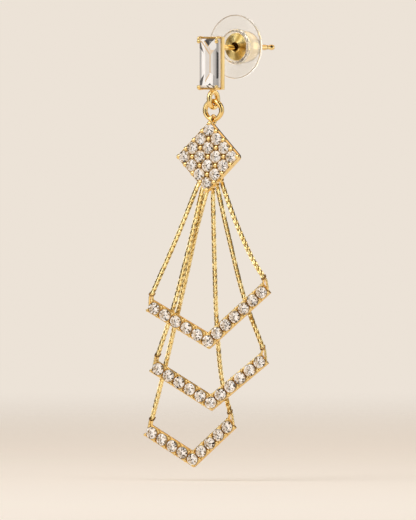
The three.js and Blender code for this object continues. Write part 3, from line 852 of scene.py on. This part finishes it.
shaded_side_gold = gold_finish("shaded_side_gold", 0.14, 6000.0, 0.006 * MM, SIDE_SHADE_LIGHT, SIDE_SHADE_DEEP)
bar_finishes = [polished_gold, shaded_recess_gold, satin_gold, shaded_side_gold]
for chevron in CHEVRONS:
    bar, row, place = bmesh.new(), bmesh.new(), chevron["place"]
    base_ends = {side: (arm[0] + BASE_END) * STONE_PITCH for side, arm in chevron["arms"].items()}
    point_end = (STONE_PITCH - CUT_WIDTH) / 2
    slab(bar, vee_outline(base_ends, BAR_HALF_WIDTH - BASE_INSET), CUT_DEPTH, BAR_THICKNESS, place)
    slab(bar, vee_outline({1: point_end, -1: point_end}, BAR_HALF_WIDTH), CELL_FRONT, CELL_BACK, place)
    centres, grains = [(0, 0)], [(0, POINT_BEAD - BAR_HALF_WIDTH / math.cos(ARM_SLOPE))]
    for side, (stones, lean) in chevron["arms"].items():
        for i in range(1, stones + 1):
            middle = i * STONE_PITCH
            cell = arm_outline(side, middle - point_end, middle + point_end, BAR_HALF_WIDTH)
            slab(bar, cell, CELL_FRONT, CELL_BACK, place, SCALLOP)
            centres.append(on_arm(side, middle, 0))
        for i in range(stones + 1):
            along = (i + (END_BEAD if i == stones else 0.5)) * STONE_PITCH
            grains += [on_arm(side, along, across) for across in (-BEAD_ACROSS, BEAD_ACROSS)]
        top = loop_top(side, stones, lean)
        feet = [on_arm(side, (stones + LOOP_FOOT) * STONE_PITCH, across) for across in LOOP_FEET]
        low, high = [Vector((x, LOOP_Y, z)) for x, z in feet]
        outer = low.lerp(top, 0.55) + Vector((side * LOOP_BULGE, 0, 0))
        route = [low, outer, top, high.lerp(top, 0.5), high]
        wire(bar, [place @ (knot * MM) for knot in route], LOOP_WIRE * MM)
    beads(bar, grains, BAR_BEAD, BAR_BEAD_RISE, place)
    set_stones(row, centres, place, BAR_STONE_SIZE, BAR_SHINE, BAR_SEAT)
    name = chevron["name"]
    piece(name + "_bar", bar, bar_finishes, "drop", [name])
    piece(name + "_stones", row, [cut_crystal], "drop", [name], smooth=0)


# ---- Chains
# Six fine chains of gold-plated brass, cut to length and hooked between a lug of the plaque and the
# end loop of a chevron. Each link is a long oval of wire with a thin web across it. It lies flat, its
# head over the foot of the next, and an end ring painted dark brown as shade closes the chain at the
# chevron.

LINK_PITCH = 0.9 * MM
LINK_HALF_LENGTH, LINK_HALF_WIDTH, LINK_WIRE = 0.78 * MM, 0.25 * MM, 0.13 * MM
LINK_WEB = Vector((0.24, 0.1, 0.75)) * MM
LINK_TIP, LINK_WOBBLE = 10.0, 4.0
LINK_INSIDE = 0.6
CHAIN_END = 0.25 * MM
CHAIN_LIGHT, CHAIN_DEEP = (0.98, 0.83, 0.46, 1), (0.86, 0.63, 0.24, 1)
END_RING, END_RING_RISE = Matrix.Diagonal((1.25, 1.7, 0.5, 1)), 0.2 * MM
# Dark brown painted as shade on the chain's end ring.
END_SHADE_LIGHT, END_SHADE_DEEP = (0.5, 0.3, 0.1, 1), (0.2, 0.1, 0.03, 1)
CHAIN_FACE = Vector((0.16, -0.985, 0.06))
ROUTE_STEPS = 40
CHAINS = [
    ("chain_upper_left", 0, -1, 2, [(0.5, 0.2, 0)]),
    ("chain_upper_right", 0, 1, 2, [(0.4, 0.63, 0), (0.8, 0.6, 0)]),
    ("chain_middle_left", 1, -1, 1, [(0.35, 0.42, 0), (0.72, 0.55, 0)]),
    ("chain_middle_right", 1, 1, 1, [(0.3, 0.5, 0), (0.68, 0.85, 0)]),
    ("chain_lower_left", 2, -1, 0, [(0.15, -0.2, 0), (0.35, -0.05, 0), (0.75, 0.1, 0)]),
    ("chain_lower_right", 2, 1, 0, [(0.3, 0.7, 0), (0.6, 1.3, 0.1), (0.85, 1.3, 0.3)]),
]


def chain_route(side, lug, chevron, via):
    """Points that a chain hangs through, close together, from its lug to its chevron's loop."""
    start = lug_centre(side, lug)
    start.z -= LUG_RADIUS / MM
    start = plaque_place @ (start * MM)
    end = chevron["place"] @ (loop_top(side, *chevron["arms"][side]) * MM)
    bends = [
        start.lerp(end, share) + Vector((-side * inwards, backwards, 0)) * MM
        for share, inwards, backwards in via
    ]
    knots = [start, *bends, end]
    knots = [2 * knots[0] - knots[1], *knots, 2 * knots[-1] - knots[-2]]
    route = []
    for before, here, there, after in zip(knots, knots[1:], knots[2:], knots[3:]):
        a, b, c = [(q - p).length ** 0.5 for p, q in ((before, here), (here, there), (there, after))]
        first = a * a * there - b * b * before + (2 * a * a + 3 * a * b + b * b) * here
        first /= 3 * a * (a + b)
        last = c * c * here - b * b * after + (2 * c * c + 3 * c * b + b * b) * there
        last /= 3 * c * (c + b)
        route += interpolate_bezier(here, first, last, there, ROUTE_STEPS)[:-1]
    return route + [end]


def chain_link():
    """One link, long side upright, tipped so that its head stands in front of its foot."""
    work = bmesh.new()
    wire(work, oval(Vector(), right, up, LINK_HALF_WIDTH, LINK_HALF_LENGTH, 4), LINK_WIRE, True, 6, 2)
    ball(work, Vector(), LINK_WEB, 6, 4)
    work.normal_update()
    flatness = (LINK_HALF_WIDTH / LINK_HALF_LENGTH) ** 2
    # Faces of the wire that face into the link's hole take the second finish, gold painted darker as
    # shade.
    for face in work.faces:
        middle = face.calc_center_median()
        inwards = -Vector((middle.x, 0, middle.z * flatness)).normalized()
        face.material_index = int(face.normal.dot(inwards) > LINK_INSIDE)
    bmesh.ops.rotate(work, matrix=Matrix.Rotation(math.radians(LINK_TIP), 3, "X"), verts=work.verts)
    mesh = bpy.data.meshes.new("chain_link")
    work.to_mesh(mesh)
    work.free()
    return mesh


LINK = chain_link()
chain_gold = gold_finish("chain_gold", 0.18, 7000.0, 0.002 * MM, CHAIN_LIGHT, CHAIN_DEEP)
shaded_end_gold = gold_finish("shaded_end_gold", 0.3, 7000.0, 0.02 * MM, END_SHADE_LIGHT, END_SHADE_DEEP)
for name, chevron, side, lug, via in CHAINS:
    route = chain_route(side, lug, CHEVRONS[chevron], via)
    length = sum((q - p).length for p, q in zip(route, route[1:])) - 2 * CHAIN_END
    count = round(length / LINK_PITCH)
    links = bmesh.new()
    gone, step = 0.0, 0
    spots = [CHAIN_END + (i + 0.5) * length / count for i in range(count)]
    for p, q in zip(route, route[1:]):
        span = (q - p).length
        while step < count and gone + span >= spots[step]:
            spot = p.lerp(q, (spots[step] - gone) / span)
            along = (q - p).normalized()
            across = along.cross(CHAIN_FACE).normalized()
            lie = Matrix((across, along.cross(across), along)).transposed().to_4x4()
            link = bmesh.new()
            link.from_mesh(LINK)
            twist = Matrix.Rotation(math.radians(random.uniform(-LINK_WOBBLE, LINK_WOBBLE)), 4, "Z")
            join(links, link, Matrix.Translation(spot) @ lie @ twist)
            step += 1
        gone += span
    # The end ring is a flattened link in the third finish, dark brown painted as shade.
    end_ring = bmesh.new()
    end_ring.from_mesh(LINK)
    for face in end_ring.faces:
        face.material_index = 2
    join(links, end_ring, Matrix.Translation(route[-1] - along * END_RING_RISE) @ lie @ END_RING)
    piece(name + "_links", links, [chain_gold, shaded_side_gold, shaded_end_gold], "drop", [name])


# ---- Floor, light and camera
# A plain pale floor just under the earring, large soft lights, and a long lens at a standing
# viewer's height.

FLOOR_DROP = 2.0 * MM
FLOOR_RADIUS = 0.7
FADE_FROM, FADE_TO = 0.1, 0.65
VIEW_AZIMUTH, VIEW_ELEVATION = 36.0, 0.8
VIEW_DISTANCE = 2.5
VIEW_AIM = Vector((-0.73, -0.53, -32.7)) * MM
LENS = 1125.0
PALE = (0.84, 0.765, 0.68, 1)
ROOM = (0.05, 0.04, 0.03, 1)

floor_mesh = bmesh.new()
floor_place = Matrix.Translation((0, 0, cad_box[0].z - FLOOR_DROP))
bmesh.ops.create_circle(floor_mesh, cap_ends=True, segments=96, radius=FLOOR_RADIUS, matrix=floor_place)
floor_data = bpy.data.meshes.new("floor")
floor_mesh.to_mesh(floor_data)
floor_mesh.free()
floor = bpy.data.objects.new("floor", floor_data)
bpy.context.scene.collection.objects.link(floor)
paper = Finish("pale_paper")
place = paper.node("TexCoord", {}, {}, "Object")
radial = paper.node("VectorMath", {"operation": "LENGTH"}, {0: place}, "Value")
fade = paper.node(
    "MapRange", {"interpolation_type": "SMOOTHSTEP"},
    {"Value": radial, "From Min": FADE_FROM, "From Max": FADE_TO, "To Min": 1.0, "To Max": 0.0},
)
paper.surface(Base_Color=PALE, Roughness=0.9, Alpha=fade, Emission_Color=PALE, Emission_Strength=0.3)
floor_data.materials.append(paper.material)

world = bpy.data.worlds.new("studio")
world.use_nodes = True
bpy.context.scene.world = world
tree = world.node_tree
backdrop = tree.nodes["Background"]
backdrop.inputs["Color"].default_value = PALE
room = tree.nodes.new("ShaderNodeBackground")
room.inputs["Color"].default_value = ROOM
seen = tree.nodes.new("ShaderNodeLightPath")
through = tree.nodes.new("ShaderNodeMath")
through.operation = "MAXIMUM"
either = tree.nodes.new("ShaderNodeMixShader")
for start, end in (
    (seen.outputs["Is Camera Ray"], through.inputs[0]),
    (seen.outputs["Is Transmission Ray"], through.inputs[1]),
    (through.outputs[0], either.inputs[0]),
    (room.outputs[0], either.inputs[1]),
    (backdrop.outputs[0], either.inputs[2]),
    (either.outputs[0], tree.nodes["World Output"].inputs[0]),
):
    tree.links.new(start, end)


def outwards(azimuth, elevation):
    """Direction from the earring to a light or a viewer, from the two angles in degrees."""
    a, e = math.radians(azimuth), math.radians(elevation)
    return Vector((math.sin(a) * math.cos(e), -math.cos(a) * math.cos(e), math.sin(e)))


def aimed(name, data, out, distance):
    """Puts a light or the camera at a distance, turned to face the earring."""
    holder = bpy.data.objects.new(name, data)
    holder.location = VIEW_AIM + out * distance
    holder.rotation_euler = (-out).to_track_quat("-Z", "Y").to_euler()
    bpy.context.scene.collection.objects.link(holder)
    return holder


def soft_light(name, azimuth, elevation, distance, width, height, glow, colour=(1, 1, 1)):
    """A softbox that faces the earring from a direction, with the same glow all over its front."""
    light = bpy.data.lights.new(name, "AREA")
    light.shape = "RECTANGLE"
    light.size, light.size_y = width, height
    light.energy = glow * math.pi * width * height
    light.color = colour
    aimed(name, light, outwards(azimuth, elevation), distance)


soft_light("front", -15, 12, 0.9, 0.4, 0.75, 1.6)
soft_light("left_front", -56, 20, 0.7, 0.14, 0.3, 1.5)
soft_light("key", -24, 48, 0.6, 0.4, 0.34, 2.6)
soft_light("right_strip", 92, 10, 0.6, 0.2, 0.6, 1.8)
soft_light("right_high", 84, 40, 0.6, 0.3, 0.3, 1.8)
soft_light("left_strip", -85, 5, 0.6, 0.12, 0.6, 2.0)
soft_light("viewer_side", 36, 8, 0.7, 0.06, 0.3, 2.5)
soft_light("top", 36, 75, 0.6, 0.4, 0.25, 3.0)
soft_light("rear", 195, 40, 0.6, 0.5, 0.4, 1.0, (1.0, 0.72, 0.45))
soft_light("rear_right", 148, 4, 0.6, 0.4, 0.4, 1.12)

lens = bpy.data.cameras.new("camera")
lens.lens = LENS
lens.clip_start, lens.clip_end = 0.1, 20
view = outwards(VIEW_AZIMUTH, VIEW_ELEVATION)
bpy.context.scene.camera = aimed("camera", lens, view, VIEW_DISTANCE)
bpy.context.scene.view_settings.view_transform = "Standard"
